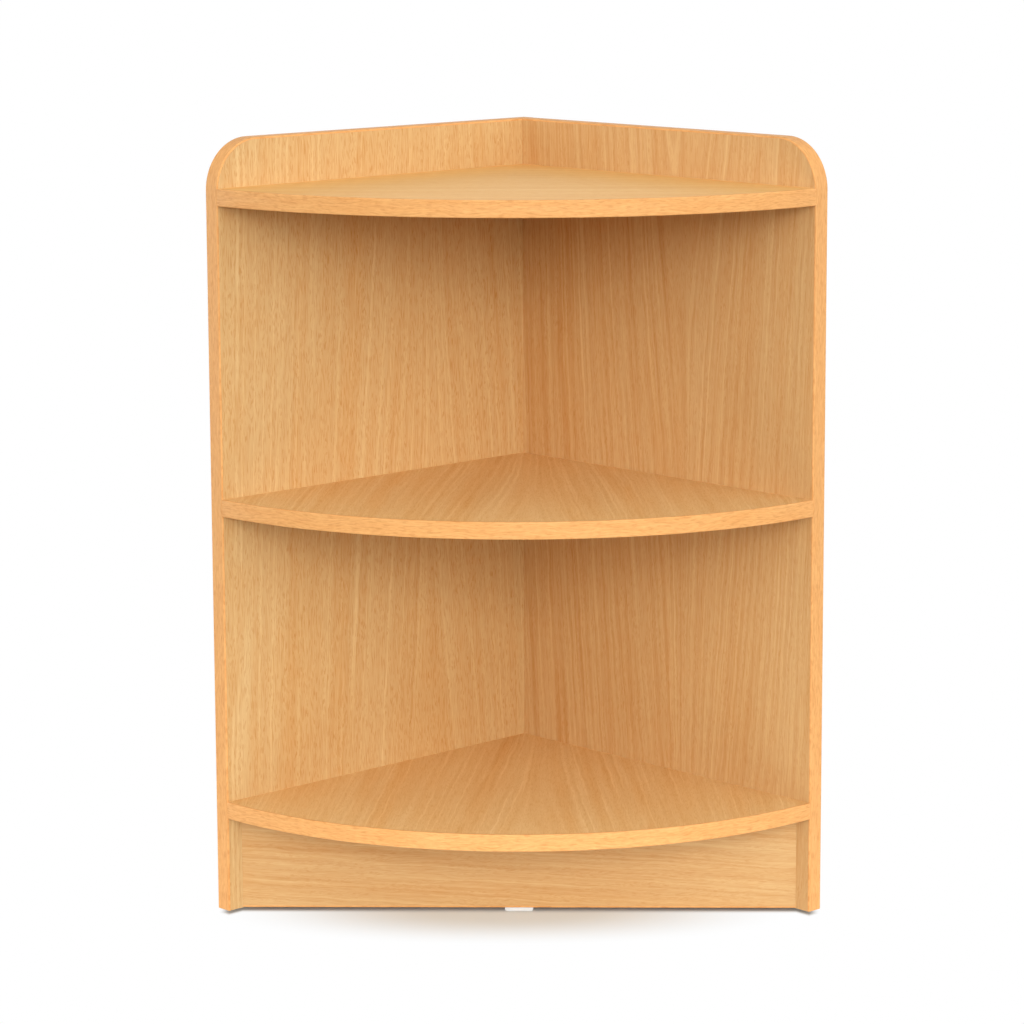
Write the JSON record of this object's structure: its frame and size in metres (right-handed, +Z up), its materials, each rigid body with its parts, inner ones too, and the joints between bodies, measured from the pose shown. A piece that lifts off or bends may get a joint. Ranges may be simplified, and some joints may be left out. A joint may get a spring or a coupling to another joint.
{
  "type": "corner shelf unit",
  "caption": "Free-standing corner shelf unit: quarter-circle shelves between upright wall panels with rounded top corners, over a straight plinth set back on low glides.",
  "frame": {"origin": "on the floor, under the middle of the unit's square footprint", "axes": "+Z up; the wall panels stand along -X (left panel) and +Y (right panel), so the open front faces +X and -Y"},
  "size_m": [0.45, 0.45, 0.816],
  "materials": {
    "beech_board": "satin",
    "beech_shelf": "satin",
    "beech_edging": "satin",
    "white_plastic": "satin",
    "zinc_alloy": "satin",
    "steel": "polished",
    "raw_beech": "matte"
  },
  "bodies": {
    "root": {"left_panel": "beech_board", "right_panel": "beech_board", "plinth": "beech_board", "bottom_shelf": "beech_shelf", "middle_shelf": "beech_shelf", "top_shelf": "beech_shelf", "left_panel_edging": "beech_edging", "right_panel_edging": "beech_edging", "plinth_edging": "beech_edging", "bottom_shelf_edging": "beech_edging", "middle_shelf_edging": "beech_edging", "top_shelf_edging": "beech_edging", "plinth_glide": "white_plastic", "left_front_glide": "white_plastic", "left_rear_glide": "white_plastic", "right_front_glide": "white_plastic", "right_rear_glide": "white_plastic", "plinth_glide_nail": "steel", "left_front_glide_nail": "steel", "left_rear_glide_nail": "steel", "right_front_glide_nail": "steel", "right_rear_glide_nail": "steel", "bottom_left_rear_cam": "zinc_alloy", "bottom_left_front_cam": "zinc_alloy", "bottom_right_rear_cam": "zinc_alloy", "bottom_right_front_cam": "zinc_alloy", "middle_left_rear_cam": "zinc_alloy", "middle_left_front_cam": "zinc_alloy", "middle_right_rear_cam": "zinc_alloy", "middle_right_front_cam": "zinc_alloy", "top_left_rear_cam": "zinc_alloy", "top_left_front_cam": "zinc_alloy", "top_right_rear_cam": "zinc_alloy", "top_right_front_cam": "zinc_alloy", "bottom_left_rear_bolt": "steel", "bottom_left_front_bolt": "steel", "bottom_right_rear_bolt": "steel", "bottom_right_front_bolt": "steel", "middle_left_rear_bolt": "steel", "middle_left_front_bolt": "steel", "middle_right_rear_bolt": "steel", "middle_right_front_bolt": "steel", "top_left_rear_bolt": "steel", "top_left_front_bolt": "steel", "top_right_rear_bolt": "steel", "top_right_front_bolt": "steel", "bottom_left_dowel": "raw_beech", "bottom_right_dowel": "raw_beech", "middle_left_dowel": "raw_beech", "middle_right_dowel": "raw_beech", "top_left_dowel": "raw_beech", "top_right_dowel": "raw_beech", "corner_dowel_1": "raw_beech", "corner_dowel_2": "raw_beech", "corner_dowel_3": "raw_beech", "corner_dowel_4": "raw_beech", "plinth_dowel_1": "raw_beech", "plinth_dowel_2": "raw_beech", "plinth_dowel_3": "raw_beech"}
  },
  "joints": []
}
